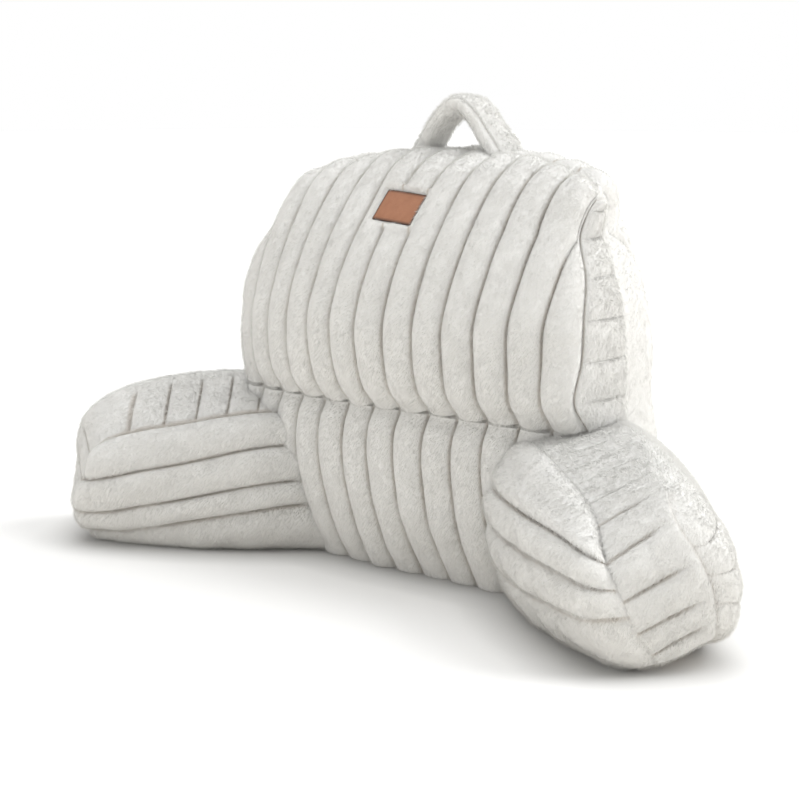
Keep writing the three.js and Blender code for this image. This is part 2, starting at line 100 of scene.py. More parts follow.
# The two seams of the band that wraps an arm, in the arm's own frame: reach runs out along the arm, q across
# it to the outside. Over the top, round the end and back underneath. The stuffing has settled differently in
# the two arms.
ARM_COLUMNS = ("inner_reach", "inner_q", "inner_z", "outer_reach", "outer_q", "outer_z")
ARM_SEAMS = {
    "left": np.array([
        (-20, -66, 145, -20, 20, 160),
        (80, -82, 156, 80, 22, 184),
        (170, -66, 141, 170, 22, 184),
        (250, -54, 124, 250, 22, 168),
        (273, -52, 107, 294, 22, 142),
        (287, -45, 80, 309, 36, 108),
        (305, -32, 46, 302, 48, 68),
        (288, -18, 16, 280, 54, 26),
        (210, -40, 2, 210, 62, 8),
        (100, -68, 0, 100, 64, 2),
        (-20, -66, 0, -20, 40, 2),
    ], dtype=float),
    "right": np.array([
        (-20, -54, 152, -20, 20, 158),
        (80, -66, 166, 80, 22, 184),
        (170, -58, 158, 170, 22, 184),
        (250, -44, 137, 250, 20, 168),
        (294, -44, 105, 292, 17, 144),
        (308, -34, 76, 306, 34, 113),
        (304, -19, 44, 302, 50, 79),
        (284, 1, 12, 284, 58, 38),
        (210, -26, 0, 210, 64, 8),
        (100, -52, 0, 100, 66, 2),
        (-20, -52, 0, -20, 40, 2),
    ], dtype=float),
}
ARM_LAST_ROW = 10
ARM_TOP_ROW = 4            # the row where the band turns from the top to the end
ARM_FOOT_ROW = 7           # and the one where it turns underneath
ARM_ROOT = (174.0, 77.0)   # where the arm's own frame has its origin
ARM_SPLAY = math.radians(49)                   # how far the arms point outwards
INNER_BELLY = {"left": 34.0, "right": 42.0}    # how far the side panels swell out
OUTER_BELLY = 42.0
OUTER_DEPTH = 0.3          # the outer side's channels are this much shallower than the others
ARM_LENGTH = 320.0         # of a side panel, about

# How high the plush stands along the band's seams on the arm's top and round its end, and the tone there:
# where it stands high, it closes over the seam.
SEAM_LIFT = {
    ("left", "inner"): (4.0, 4.0),
    ("left", "outer"): (7.0, 6.0),
    ("right", "inner"): (9.0, 5.0),
    ("right", "outer"): (7.5, 4.0),
}
# Painted shade: the lower the tone, the darker the plush along that seam.
SEAM_TONE = {
    ("left", "inner"): (0.1, 0.2),
    ("left", "outer"): (0.8, 0.6),
    ("right", "inner"): (1.0, 0.6),
    ("right", "outer"): (0.9, 0.35),
}
SEAM_CHANGE = (2.4, 4.0)   # the rows from which and to which they change

# How deep the band's channels are there, and from where they fade out towards the outer seam.
BAND_CREST = {"left": (1.0, 0.8), "right": (0.45, 1.15)}
BAND_FADE = {"left": (0.7, 0.7), "right": (0.25, 0.6)}

# Where the seams between the channels run. On the band, rows of the table above. On the inner side panel,
# heights as shares of the panel's, at the arm's root, half-way and at its end.
BAND_SEAMS = {
    "left": (0, 0.35, 0.77, 1.08, 1.46, 1.87, 2.3, 2.8, 4.4, 5.3, 6.2, 7),
    "right": (0, 0.44, 0.89, 1.33, 1.75, 2.15, 2.45, 2.85, 3.3, 4.05, 5.05, 5.95, 6.6, 7),
}
SIDE_SEAMS = {
    "left": ((0, 0, 0), (0.44, 0.25, 0.06), (0.62, 0.43, 0.27), (0.86, 0.71, 0.61), (1, 1, 1)),
    "right": ((0, 0, 0), (0.25, 0.27, 0.52), (0.52, 0.53, 0.76), (0.74, 0.74, 0.98), (1, 1, 1)),
    "outer": ((0, 0, 0), (0.25, 0.25, 0.25), (0.50, 0.50, 0.50), (0.75, 0.75, 0.75), (1, 1, 1)),
}


# Numbers on grids --------------------------------------------------------------------------------------

def table_at(table, columns, row):
    """Every column of a table at fractional rows, on a smooth curve through the rows."""
    last = len(table) - 1
    row = np.asarray(row, dtype=float)
    at = np.clip(np.floor(row).astype(int), 0, last - 1)
    t = (row - at)[..., None]
    a, b, c, d = (table[np.clip(at + step, 0, last)] for step in (-1, 0, 1, 2))
    value = b + 0.5 * t * (c - a + t * (2 * a - 5 * b + 4 * c - d + t * (3 * (b - c) + d - a)))
    return {name: value[..., i] for i, name in enumerate(columns)}


def lerp(a, b, t):
    return a + (b - a) * t


def unit(vectors):
    return vectors / np.maximum(np.linalg.norm(vectors, axis=-1, keepdims=True), 1e-9)


def channel(phase):
    """Round-topped channel between two seams: 0 on a seam, 1 on the crest."""
    across = np.abs(2 * (phase - np.floor(phase)) - 1)
    return np.maximum(0, 1 - across**CHANNEL_ROUNDNESS) ** (1 / CHANNEL_ROUNDNESS)


def seam_tone(phase, width):
    """Shade beside the seams at whole phases: 0 on a seam, 1 from SEAM_SHADE away."""
    away = np.abs(phase - np.round(phase)) * width
    return np.minimum(1, away / SEAM_SHADE)


def from_columns(points, chosen):
    """How far each point of a grid is from the nearest of the chosen columns, along the cloth."""
    steps = np.linalg.norm(np.diff(points, axis=0), axis=-1)
    along = np.concatenate([np.zeros((1, points.shape[1])), np.cumsum(steps, axis=0)])
    return np.abs(along[:, None] - along[chosen][None]).min(axis=1)


def smooth_step(low, high, value):
    t = np.clip((value - low) / (high - low), 0, 1)
    return t * t * (3 - 2 * t)


def sewn_in(levels, reach):
    """How full the plush is beside a seam across the channels, some levels away, and its tone there, which
    sets its painted shade.
    """
    away = np.abs(levels)
    full = np.minimum(1, np.sqrt(away / reach))
    return full, np.minimum(1, away * LEVEL_HEIGHT / SEAM_SHADE)


def swell(t):
    """Swell of a pad between its two edges: 0 at 0 and at 1, 1 in the middle."""
    return np.sqrt(np.maximum(0, 4 * t * (1 - t)))


RIPPLE_WAVES = 12          # waves that a ripple is made of


def ripple(points, size, seed):
    """Smooth unevenness of about -1 to 1, with humps of about the given size in millimetres."""
    rng = np.random.default_rng(seed)
    total = np.zeros(points.shape[:-1])
    for _ in range(RIPPLE_WAVES):
        heading = unit(rng.normal(size=3))
        length = size * rng.uniform(1.5, 2.7)
        total += np.sin(points @ heading * (2 * math.pi / length) + rng.uniform(0, 2 * math.pi))
    return total / math.sqrt(RIPPLE_WAVES)


def ripples(points, size, seed):
    """Three of them, as a vector field."""
    return np.stack([ripple(points, size, seed + i) for i in range(3)], axis=-1)


LUMPS = {                  # how much the filling varies, and the size of its lumps, coarse and fine
    "cushion": ((0.10, 45), (0.06, 20)),
    "gusset": ((0.15, 35), (0.10, 15)),
    "arm": ((0.12, 40), (0.08, 18)),
    "band": ((0.15, 35), (0.10, 16)),
}


def lumps(piece, points, seed):
    """How much fuller than usual a piece is filled at its points, as a share."""
    (coarse, coarse_size), (fine, fine_size) = LUMPS[piece]
    return coarse * ripple(points, coarse_size, seed) + fine * ripple(points, fine_size, seed + 1)


def channel_stops(start, end, per_channel, offset=0.0):
    """Places from one seam phase to another, close together beside the seams and apart on the crests. The
    seams are at whole phases, or offset from them."""
    edges = np.arange(start, end + 1e-6) if offset else np.array([
        start, *np.arange(math.floor(start) + 1, math.ceil(end)), end])
    stops = []
    for low, high in zip(edges[:-1], edges[1:]):
        count = max(2, round(per_channel * (high - low)))
        turn = np.arange(count) / count
        stops.extend(lerp(low, high, 0.5 - 0.5 * np.cos(math.pi * turn)))
    return np.array([*stops, end])


def finer(stops, low, high):
    """The stops with one more half-way between any two that lie from low to high."""
    middle = (stops[:-1] + stops[1:]) / 2
    return np.sort(np.concatenate([stops, middle[(middle > low) & (middle < high)]]))


def grid(u, v):
    return np.meshgrid(u, v, indexing="ij")


def grid_normals(points):
    """Unit normals of a grid of points, facing du x dv."""
    return unit(np.cross(np.gradient(points, axis=0), np.gradient(points, axis=1)))


def raise_grid(points, relief, side=1):
    """The grid moved out along its normals, never below the floor."""
    raised = points + side * relief[..., None] * grid_normals(points)
    raised[..., 2] = np.maximum(0, raised[..., 2])
    return raised


# Meshes ------------------------------------------------------------------------------------------------

WELD = 0.02                # points that round to the same multiple of this become one


def lay(points):
    """Millimetres in the part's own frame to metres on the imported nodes."""
    return (points + np.array([0.0, MIDDLE_Y, 0.0])) * MM


def grid_faces(columns, rows, first, flip):
    i, j = grid(np.arange(columns - 1), np.arange(rows - 1))
    a = first + i * rows + j
    quads = np.stack([a, a + rows, a + rows + 1, a + 1], axis=-1).reshape(-1, 4)
    return quads[:, ::-1] if flip else quads


def mesh_object(name, vertices, faces, tones, material, smooth=True):
    """A linked mesh object. tones holds, for each vertex, 0 down in a seam to 1 on top: on plush it sets the
    painted shade, on leather the burnt edge.
    """
    mesh = bpy.data.meshes.new(name)
    mesh.from_pydata(vertices.tolist(), [], faces.tolist())
    tone = mesh.attributes.new("tone", "FLOAT", "POINT")
    tone.data.foreach_set("value", tones.astype(np.float32))
    mesh.polygons.foreach_set("use_smooth", np.full(len(mesh.polygons), smooth))
    mesh.materials.append(material)
    mesh.update()
    piece = bpy.data.objects.new(name, mesh)
    bpy.context.scene.collection.objects.link(piece)
    return piece


def grids_object(name, grids, material):
    """One object from grids, each (points, tone, flip); points that two grids share become one."""
    vertices, tones, faces = [], [], []
    first = 0
    for points, tone, flip in grids:
        columns, rows = points.shape[:2]
        vertices.append(lay(points).reshape(-1, 3))
        tones.append(np.broadcast_to(tone, (columns, rows)).reshape(-1))
        faces.append(grid_faces(columns, rows, first, flip))
        first += columns * rows
    vertices = np.concatenate(vertices)
    tones = np.concatenate(tones)
    faces = np.concatenate(faces)
    key = np.round(vertices / (WELD * MM)).astype(np.int64)
    _, kept, where = np.unique(key, axis=0, return_index=True, return_inverse=True)
    faces = where.reshape(-1)[faces]
    distinct = [len(set(face)) == 4 for face in faces.tolist()]
    return mesh_object(name, vertices[kept], faces[distinct], tones[kept], material)


# Materials ---------------------------------------------------------------------------------------------

PLUSH_CREST = (0.875, 0.875, 0.86)
PLUSH_SHADE = (0.84, 0.835, 0.815)
# Painted shade: the colour the plush turns to down in its seams and hollows, where shade falls.
PAINTED_SEAM_SHADE = (0.60, 0.55, 0.49)
LEATHER_PALE = (0.44, 0.20, 0.105)
LEATHER_DARK = (0.30, 0.115, 0.055)
LEATHER_EDGE = (0.07, 0.028, 0.016)
NAP_SCALE = 70             # scales of the patterns, in repeats to a metre, about
TUFT_SCALE = 330
CLOUD_SCALE = 90
GRAIN_SCALE = 900
NOISE_ROUGHNESS = 0.6


def new_material(name):
    material = bpy.data.materials.new(name)
    material.use_nodes = True
    return material, material.node_tree.nodes, material.node_tree.links


def noise(nodes, links, coordinates, scale, detail):
    node = nodes.new("ShaderNodeTexNoise")
    node.inputs["Scale"].default_value = scale
    node.inputs["Detail"].default_value = detail
    node.inputs["Roughness"].default_value = NOISE_ROUGHNESS
    links.new(coordinates, node.inputs["Vector"])
    return node.outputs["Fac"]


def mix(nodes, links, factor, a, b):
    node = nodes.new("ShaderNodeMix")
    node.data_type = "RGBA"
    for socket, value in ((node.inputs["Factor"], factor), (node.inputs["A"], a), (node.inputs["B"], b)):
        if isinstance(value, bpy.types.NodeSocket):
            links.new(value, socket)
        else:
            socket.default_value = value
    return node.outputs["Result"]


def ramp(nodes, links, value, stops):
    node = nodes.new("ShaderNodeValToRGB")
    while len(node.color_ramp.elements) < len(stops):
        node.color_ramp.elements.new(0.5)
    for element, (position, colour) in zip(node.color_ramp.elements, stops):
        element.position = position
        element.color = (*colour, 1)
    links.new(value, node.inputs["Fac"])
    return node.outputs["Color"]


def surface_inputs(nodes):
    """Where a point of a surface is, and its tone: 0 down in a seam to 1 on top, which sets the plush's
    painted shade and the leather's burnt edge.
    """
    tone = nodes.new("ShaderNodeAttribute")
    tone.attribute_name = "tone"
    return nodes.new("ShaderNodeNewGeometry").outputs["Position"], tone.outputs["Fac"]


def add_bump(nodes, links, shader, relief, strength, distance):
    height = nodes.new("ShaderNodeBump")
    height.inputs["Strength"].default_value = strength
    height.inputs["Distance"].default_value = distance
    links.new(relief, height.inputs["Height"])
    links.new(height.outputs["Normal"], shader.inputs["Normal"])


def plush_material(name, bump):
    """Cream short-pile plush: paler on the crests, mottled where the nap turns, and with painted shade,
    darker and warmer, in its seams and hollows where the tone is low.
    """
    material, nodes, links = new_material(name)
    shader = nodes["Principled BSDF"]
    place, tone = surface_inputs(nodes)
    nap = noise(nodes, links, place, NAP_SCALE, 3)
    pile = mix(nodes, links, nap, (*PLUSH_SHADE, 1), (*PLUSH_CREST, 1))
    # Painted shade: the lower the tone, the more of the seam colour, as shade in the seams and hollows.
    depth = ramp(nodes, links, tone, [(0.0, (0, 0, 0)), (0.55, (1, 1, 1))])
    colour = mix(nodes, links, depth, (*PAINTED_SEAM_SHADE, 1), pile)
    links.new(colour, shader.inputs["Base Color"])
    shader.inputs["Roughness"].default_value = 0.95
    shader.inputs["Specular IOR Level"].default_value = 0.2
    shader.inputs["Sheen Weight"].default_value = 0.35
    shader.inputs["Sheen Roughness"].default_value = 0.6
    if bump:
        add_bump(nodes, links, shader, noise(nodes, links, place, TUFT_SCALE, 2), bump, 0.0025)
    return material


def leather_material():
    """Brown leather with a fine grain, dark along its burnt edges."""
    material, nodes, links = new_material("leather")
    shader = nodes["Principled BSDF"]
    place, tone = surface_inputs(nodes)
    clouds = noise(nodes, links, place, CLOUD_SCALE, 4)
    face = mix(nodes, links, clouds, (*LEATHER_DARK, 1), (*LEATHER_PALE, 1))
    edge = ramp(nodes, links, tone, [(0.0, (0, 0, 0)), (0.9, (1, 1, 1))])
    colour = mix(nodes, links, edge, (*LEATHER_EDGE, 1), face)
    links.new(colour, shader.inputs["Base Color"])
    grain = nodes.new("ShaderNodeTexVoronoi")
    grain.inputs["Scale"].default_value = GRAIN_SCALE
    links.new(place, grain.inputs["Vector"])
    add_bump(nodes, links, shader, grain.outputs["Distance"], 0.35, 0.0006)
    shader.inputs["Roughness"].default_value = 0.55
    return material


# Back cushion ------------------------------------------------------------------------------------------

def panel(y_name, z_name, left_name, right_name, fullness):
    """A panel of the cushion: s from -1 at its left seam to 1 at the right one, v from the base up."""
    def at(s, v):
        level = table_at(LEVELS, LEVEL_COLUMNS, v * TOP_LEVEL)
        seam_y = lerp(level[left_name], level[right_name], 0.5 + 0.5 * s)
        fill = np.maximum(0, 1 - s * s) ** fullness
        y = lerp(seam_y, level[y_name], fill)
        z = lerp(level["seam_z"], level[z_name], fill)
        return np.stack([s * level["half"], y, z], axis=-1)
    return at


front_panel = panel("front_y", "front_z", "left_y", "right_y", FRONT_FULLNESS)
back_panel = panel("back_y", "back_z", "seam_back_y", "seam_back_y", BACK_FULLNESS)


def cushion_sheet(s, v):
    """Both panels as one sheet: v runs up the front, over the crown seam and down the back."""
    front = front_panel(s, np.minimum(1, 2 * v))
    back = back_panel(s, np.minimum(1, 2 - 2 * v))
    return np.where(v[..., None] < 0.5, front, back)


def half_at(v):
    """Half the cushion's width at a place on the sheet."""
    return table_at(LEVELS, LEVEL_COLUMNS, (1 - np.abs(2 * v - 1)) * TOP_LEVEL)["half"]


CUSHION_PER_CHANNEL = 12   # steps of the cushion's grid to a channel, and to a level of the table
CUSHION_PER_LEVEL = 13

PATCH_WIDTH = 57.0
PATCH_HEIGHT = 29.0
PATCH_THICK = 1.8
PATCH_X = -8.0
PATCH_LEVEL = 10.2
PATCH_LEVEL_HEIGHT = 50.0  # of a level of the table there
PATCH_TURN = math.radians(-4.5)
PATCH_PHASES = (-1.6, 1.1) # the channels and the levels round it, where the cushion's grid is finer
PATCH_LEVELS = (9.7, 10.7)
PATCH_BED = 3.5            # height over the seams of the plush pressed flat under it
PATCH_LIP = 8.5            # and of the plush round it


def patch_place(across, up):
    """Where a place on the patch is on the cushion: its x, and its level in the table."""
    x = PATCH_X + across * math.cos(PATCH_TURN) - up * math.sin(PATCH_TURN)
    return x, PATCH_LEVEL + (across * math.sin(PATCH_TURN) + up * math.cos(PATCH_TURN)) / PATCH_LEVEL_HEIGHT


def from_patch(x, level):
    """How far a place on the cushion is outside the patch's edges, below 0 under the patch."""
    along, up = x - PATCH_X, (level - PATCH_LEVEL) * PATCH_LEVEL_HEIGHT
    across = np.abs(along * math.cos(PATCH_TURN) + up * math.sin(PATCH_TURN)) - PATCH_WIDTH / 2
    upward = np.abs(up * math.cos(PATCH_TURN) - along * math.sin(PATCH_TURN)) - PATCH_HEIGHT / 2
    outside = np.hypot(np.maximum(0, across), np.maximum(0, upward))
    return np.where(outside > 0, outside, np.maximum(across, upward))


def pressed(relief, outside):
    """The plush's height pressed flat under the patch, with a lip of plush round its edge."""
    lip = PATCH_LIP * np.exp(-((outside - 4) / 4.5) ** 2)
    return lerp(PATCH_BED, np.maximum(relief, lip), smooth_step(0.3, 3.6, outside))


def cushion_stops():
    """The phases and the places up the sheet of its grid, closer together at the waist and at the patch."""
    phases = channel_stops(-LAST_SEAM - 1, LAST_SEAM + 1, CUSHION_PER_CHANNEL, LAST_SEAM)
    phases = finer(phases, *PATCH_PHASES)
    levels = np.linspace(0, TOP_LEVEL, TOP_LEVEL * CUSHION_PER_LEVEL + 1)
    levels = finer(levels, WAIST_LEVEL - 0.5, WAIST_LEVEL + 0.5)
    levels = finer(levels, WAIST_LEVEL - 0.25, WAIST_LEVEL + 0.25)
    levels = finer(levels, *PATCH_LEVELS)
    up = levels / (2 * TOP_LEVEL)
    return phases, np.concatenate([up, 1 - up[-2::-1]])


def cushion_places(phase, v):
    """The x of places at a channel phase on the sheet, and the widths of the tapering channels there."""
    half = half_at(v)
    shift = np.sign(phase) * CHANNEL_SHIFT
    whole = np.minimum(LAST_SEAM * CHANNEL, half - shift - 1)
    wedge = half - shift - whole
    beyond = np.maximum(0, np.abs(phase) - LAST_SEAM)
    straight = np.clip(phase, -LAST_SEAM, LAST_SEAM) * whole / LAST_SEAM
    return straight + CHANNEL_SHIFT + np.sign(phase) * beyond * wedge, wedge


def cushion_tone(base, phases, wedge, across_tones):
    """The tone, and with it the painted shade, from the cushion's seams: between its channels, at its sides,
    and those that run across.
    """
    phase = phases[:, None]
    seams = np.abs(phases + LAST_SEAM - np.round(phases + LAST_SEAM)) < 1e-6
    between = from_columns(base, seams & (np.abs(phases) < LAST_SEAM + 0.5)) / SEAM_SHADE
    closed = (np.abs(phase) > LAST_SEAM - 0.5) * (1 - smooth_step(*WEDGE_CLOSED, wedge))
    between = np.maximum(between, SIDE_SEAM_TONE * closed)
    sides = SIDE_SEAM_TONE + from_columns(base, seams & (np.abs(phases) > LAST_SEAM + 0.5)) / SEAM_SHADE
    crown_tone, waist_tone = across_tones
    crown_tone = np.maximum(SIDE_SEAM_TONE, crown_tone)
    waist_tone = np.maximum(WAIST_TONE, waist_tone)
    return np.minimum(np.minimum(1, between), np.minimum(sides, np.minimum(crown_tone, waist_tone)))


def cushion_fill(base, phase):
    """How well the channels are filled: each one a little differently, and lumpy along it."""
    number = np.floor(phase + LAST_SEAM)[..., None] * np.array([41.0, 0.0, 0.0])
    along = base * np.array([0.25, 1.0, 1.0]) + number
    return 1 + lumps("cushion", along, 3)


def cushion_grid():
    """The cushion's sheet with its channels, and its tone. Channels run straight up, and the panel's seams
    cut the outermost ones to wedges."""
    phases, v = cushion_stops()
    phase, v = grid(phases, v)
    x, wedge = cushion_places(phase, v)
    base = cushion_sheet(x / half_at(v), v)
    edge = (np.abs(phase) < LAST_SEAM + 1).astype(float)
    width = np.where(np.abs(phase) > LAST_SEAM, np.minimum(CHANNEL, wedge), CHANNEL)
    crown, crown_tone = sewn_in(np.abs(2 * v - 1) * TOP_LEVEL, CROWN_REACH)
    # The back gets a level past the table's, as it has no waist seam and no patch.
    level = np.where(v < 0.5, 2 * v * TOP_LEVEL, TOP_LEVEL + 1)
    waist, waist_tone = sewn_in(level - WAIST_LEVEL, WAIST_REACH)
    crest = channel(phase + LAST_SEAM) * crown * edge * (width / CHANNEL) ** WEDGE_FULLNESS
    tone = cushion_tone(base, phase[:, 0], wedge, (crown_tone, waist_tone))
    fill = cushion_fill(base, phase)
    relief = CHANNEL_DEPTH * crest * fill * waist + 0.9 * ripple(base, 60, 5) * edge
    relief -= WAIST_GROOVE * (1 - waist) * edge
    drift = ripple(base * np.array([0.4, 1.0, 1.0]), 55, 6)
    outside = from_patch(x, level)
    sheet = raise_grid(base, pressed(relief, outside))
    sheet[..., 0] += SEAM_DRIFT * drift * edge * crown * smooth_step(0, 20, outside)
    return sheet, np.where(outside < 1, 0.5, tone)


def cushion_grids():
    sheet, tone = cushion_grid()
    half = sheet.shape[1] // 2
    through = np.linspace(0, 1, 5)[None, :, None]
    base = lerp(sheet[:, 0][:, None], sheet[:, -1][:, None], through)
    front = sheet[:, :half + 1]
    back = sheet[:, ::-1][:, :half + 1]
    left = lerp(front[0][:, None], back[0][:, None], through)
    right = lerp(front[-1][:, None], back[-1][:, None], through)
    # The base and the ends get low tones: painted shade under the cushion and at its sides.
    return [(sheet, tone, False), (base, 0.3, True), (left, 0.2, False), (right, 0.2, True)]


# Side strips -------------------------------------------------------------------------------------------

GUSSET_DEPTH = 3.5         # height of the channels' crests on the cushion's side strips
GUSSET_ENDS = (0.02, 0.98) # where the strips start and end, as shares of the cushion's levels


def gusset_grids(side):
    """The channelled strip in a side of the cushion: under and upper surface and the four edges."""
    channels = TOP_LEVEL
    start, end = GUSSET_ENDS
    phases = channel_stops(start * channels, end * channels, 10)
    u, v = grid(np.linspace(STRIP_MARGIN, 1 - STRIP_MARGIN, 25), phases / channels)
    level = table_at(LEVELS, LEVEL_COLUMNS, v * TOP_LEVEL)
    y = lerp(level["right_y" if side > 0 else "left_y"], level["seam_back_y"], u)
    flat = np.stack([level["half"], y, level["seam_z"]], axis=-1)
    puff = 1 + lumps("gusset", flat, 11)
    crest = channel(v * channels)
    bulge = (STRIP - GUSSET_DEPTH + GUSSET_DEPTH * crest * puff) * swell(u)
    upper = flat.copy()
    upper[..., 0] += 1.3 + bulge
    under = flat.copy()
    under[..., 0] += 0.3
    for sheet in (upper, under):
        sheet[..., 0] *= side
    tone = lerp(0.85, 1, seam_tone(v * channels, LEVEL_HEIGHT)) * np.minimum(1, 0.8 + np.minimum(u, 1 - u))
    return slab_grids(under, upper, tone, side < 0)


def slab_grids(under, upper, tone, flip):
    through = np.array([0.0, 1.0])[None, :, None]

    def edge(low, high):
        return lerp(low[:, None], high[:, None], through)
    # The under side and the four edges get low tones: painted shade on plush, the dark burnt edge on the
    # leather.
    return [
        (upper, tone, flip),
        (under, 0.0, not flip),
        (edge(under[:, 0], upper[:, 0]), 0.2, flip),
        (edge(under[:, -1], upper[:, -1]), 0.2, not flip),
        (edge(under[0], upper[0]), 0.2, not flip),
        (edge(under[-1], upper[-1]), 0.2, flip),
    ]


# Arms --------------------------------------------------------------------------------------------------

def by_row(pair, row):
    """A value that changes from the arm's top to its end."""
    return lerp(pair[0], pair[1], smooth_step(*SEAM_CHANGE, np.asarray(row, dtype=float)))


def seam_at(arm, edge, row):
    """A seam of the band, where the plush on it meets the side panel's."""
    at = table_at(ARM_SEAMS[arm], ARM_COLUMNS, row)
    inner, outer = (np.stack([at[f"{name}_q"], at[f"{name}_reach"], at[f"{name}_z"]], axis=-1)
                    for name in ("inner", "outer"))
    ahead = table_at(ARM_SEAMS[arm], ARM_COLUMNS, row + 0.01)
    middle = [(ahead[f"inner_{axis}"] + ahead[f"outer_{axis}"]) / 2 for axis in ("q", "reach", "z")]
    along = np.stack(middle, axis=-1) - (inner + outer) / 2
    out = unit(np.cross(outer - inner, along))
    seam = (inner if edge == "inner" else outer) + by_row(SEAM_LIFT[arm, edge], row)[..., None] * out
    seam[..., 2] = np.maximum(0, seam[..., 2])
    return seam


def side_panel(arm, edge, belly, u, v):
    """A side panel of the arm, blended from its four sides: u from the root to the end, v up."""
    def seam(row):
        return seam_at(arm, edge, row)
    top = seam(ARM_TOP_ROW * u)
    end = seam(lerp(ARM_FOOT_ROW, ARM_TOP_ROW, v))
    foot = seam(lerp(ARM_LAST_ROW, ARM_FOOT_ROW, u))
    u3, v3 = u[..., None], v[..., None]
    root = lerp(seam(ARM_LAST_ROW), seam(0), v3)
    along_seams = lerp(foot, top, v3)
    along_ends = lerp(root, end, u3)
    foot_line = lerp(seam(ARM_LAST_ROW), seam(ARM_FOOT_ROW), u3)
    top_line = lerp(seam(0), seam(ARM_TOP_ROW), u3)
    points = along_seams + along_ends - lerp(foot_line, top_line, v3)
    points[..., 0] += belly * (0.8 + 0.4 * u) * swell(v) * np.sqrt(np.maximum(0, 1 - u**4))
    return points


def place_arm(points, side):
    """From the arm's own frame to where it lies. The left arm's frame mirrors the right one's."""
    q, reach, z = points[..., 0], points[..., 1], points[..., 2]
    sin, cos = math.sin(ARM_SPLAY), math.cos(ARM_SPLAY)
    x = ARM_ROOT[0] + reach * sin + q * cos
    y = ARM_ROOT[1] - reach * cos + q * sin
    return np.stack([side * x, y, z], axis=-1)


def seam_heights(seams, u, phase):
    """Height on a side panel at a channel phase: the seams between the channels are at whole phases."""
    at = np.clip(np.floor(phase).astype(int), 0, len(seams) - 2)
    root, middle, end = (np.array(column, dtype=float) for column in zip(*seams))

    def height(number):
        bend = root[number] + u * (4 * middle[number] - 3 * root[number] - end[number])
        return bend + u * u * 2 * (root[number] + end[number] - 2 * middle[number])
    return lerp(height(at), height(at + 1), phase - at)


def arm_side(arm, edge, belly, turn, seed):
    """A side panel with its lengthwise channels, in the arm's own frame, and its tone."""
    seams = SIDE_SEAMS[arm if edge == "inner" else "outer"]
    last = len(seams) - 1
    u, phase = grid(np.linspace(0, 1, 111), channel_stops(0, last, 15))
    base = side_panel(arm, edge, belly, u, seam_heights(seams, u, phase))
    end_seam = np.minimum(1, np.sqrt(12 * (1 - u)))
    number = np.floor(phase)[..., None] * np.array([0.0, 37.0, 53.0])
    fill = 1 + lumps("arm", base + number, seed)
    depth = CHANNEL_DEPTH * (1 if edge == "inner" else OUTER_DEPTH)
    border = (phase < 0.5) | (phase > last - 0.5)
    crest = np.where(border, channel(phase) ** 1.5, channel(phase))
    top_tone = by_row(SEAM_TONE[arm, edge], ARM_TOP_ROW * u)
    # Where the top seam is closed over, the channel under it runs out flat into the band.
    crest = crest * (1 - 0.7 * top_tone**2 * smooth_step(last - 0.9, last - 0.35, phase))
    relief = depth * crest * end_seam * fill
    # Painted shade: the tone darkens the plush beside the channels' seams, the band's seam and the end seam.
    tone = seam_tone(phase, CHANNEL)
    if edge == "outer":
        tone = np.maximum(tone, 0.5)
    tone = np.where(border, np.maximum(tone, top_tone), tone)
    end_tone = np.minimum(1, SEAM_TONE[arm, edge][1] + (1 - u) * ARM_LENGTH / SEAM_SHADE)
    return raise_grid(base, relief, turn), np.minimum(tone, end_tone)


def arm_body_grids(arm, side):
    """The filled arm: its side panels, and the bed round it in which its band lies."""
    inner, inner_tone = arm_side(arm, "inner", -INNER_BELLY[arm], -1, 21)
    outer, outer_tone = arm_side(arm, "outer", OUTER_BELLY, 1, 31)
    row, across = grid(np.linspace(0, ARM_LAST_ROW, 221), np.linspace(0, 1, 17))
    flat = lerp(seam_at(arm, "inner", row), seam_at(arm, "outer", row), across[..., None])
    bed = raise_grid(flat, -(STRIP_DEPTH + 0.5) * from_edge(across), -1)
    # The bed under the band gets a low tone: painted shade.
    grids = [(inner, inner_tone, True), (outer, outer_tone, False), (bed, 0.2, True)]
    return [(place_arm(points, side), tone, flip != (side > 0)) for points, tone, flip in grids]


def from_edge(across):
    """0 on a band's seams, 1 once well away from them."""
    return np.minimum(1, 6 * np.minimum(across, 1 - across))


def band_grids(arm, side):
    """The channelled band over the arm's top and round its end. Its channels run out at the outer seam."""
    seams = np.array(BAND_SEAMS[arm], dtype=float)
    phases = channel_stops(0, len(seams) - 1, 10)
    rows = np.interp(phases, np.arange(len(seams)), seams)
    row, across = grid(rows, np.linspace(0, 1, 31))
    base = lerp(seam_at(arm, "inner", row), seam_at(arm, "outer", row), across[..., None])
    fade = smooth_step(by_row(BAND_FADE[arm], row), 1, across)
    crest = lerp(channel(phases)[:, None], 1, fade)
    puff = lumps("band", base, 41)
    crown = STRIP - lerp(by_row(SEAM_LIFT[arm, "inner"], row), by_row(SEAM_LIFT[arm, "outer"], row), across)
    depth = STRIP_DEPTH * by_row(BAND_CREST[arm], row)
    upper = raise_grid(base, 0.3 + (crown - depth * (1 - crest - puff)) * swell(across), -1)
    under = raise_grid(base, -STRIP_DEPTH * from_edge(across), -1)
    # Painted shade beside the channels' seams and along the band's two seams.
    tone = lerp(seam_tone(phases, CHANNEL)[:, None], 1, fade)
    tone = lerp(1, tone, np.minimum(1, by_row(BAND_CREST[arm], row)))
    border = lerp(by_row(SEAM_TONE[arm, "inner"], row), by_row(SEAM_TONE[arm, "outer"], row), across)
    border = border + from_edge(across)
    grids = slab_grids(under, upper, np.minimum(tone, border), True)
    return [(place_arm(points, side), tone, flip != (side > 0)) for points, tone, flip in grids]


# Handle and patch --------------------------------------------------------------------------------------

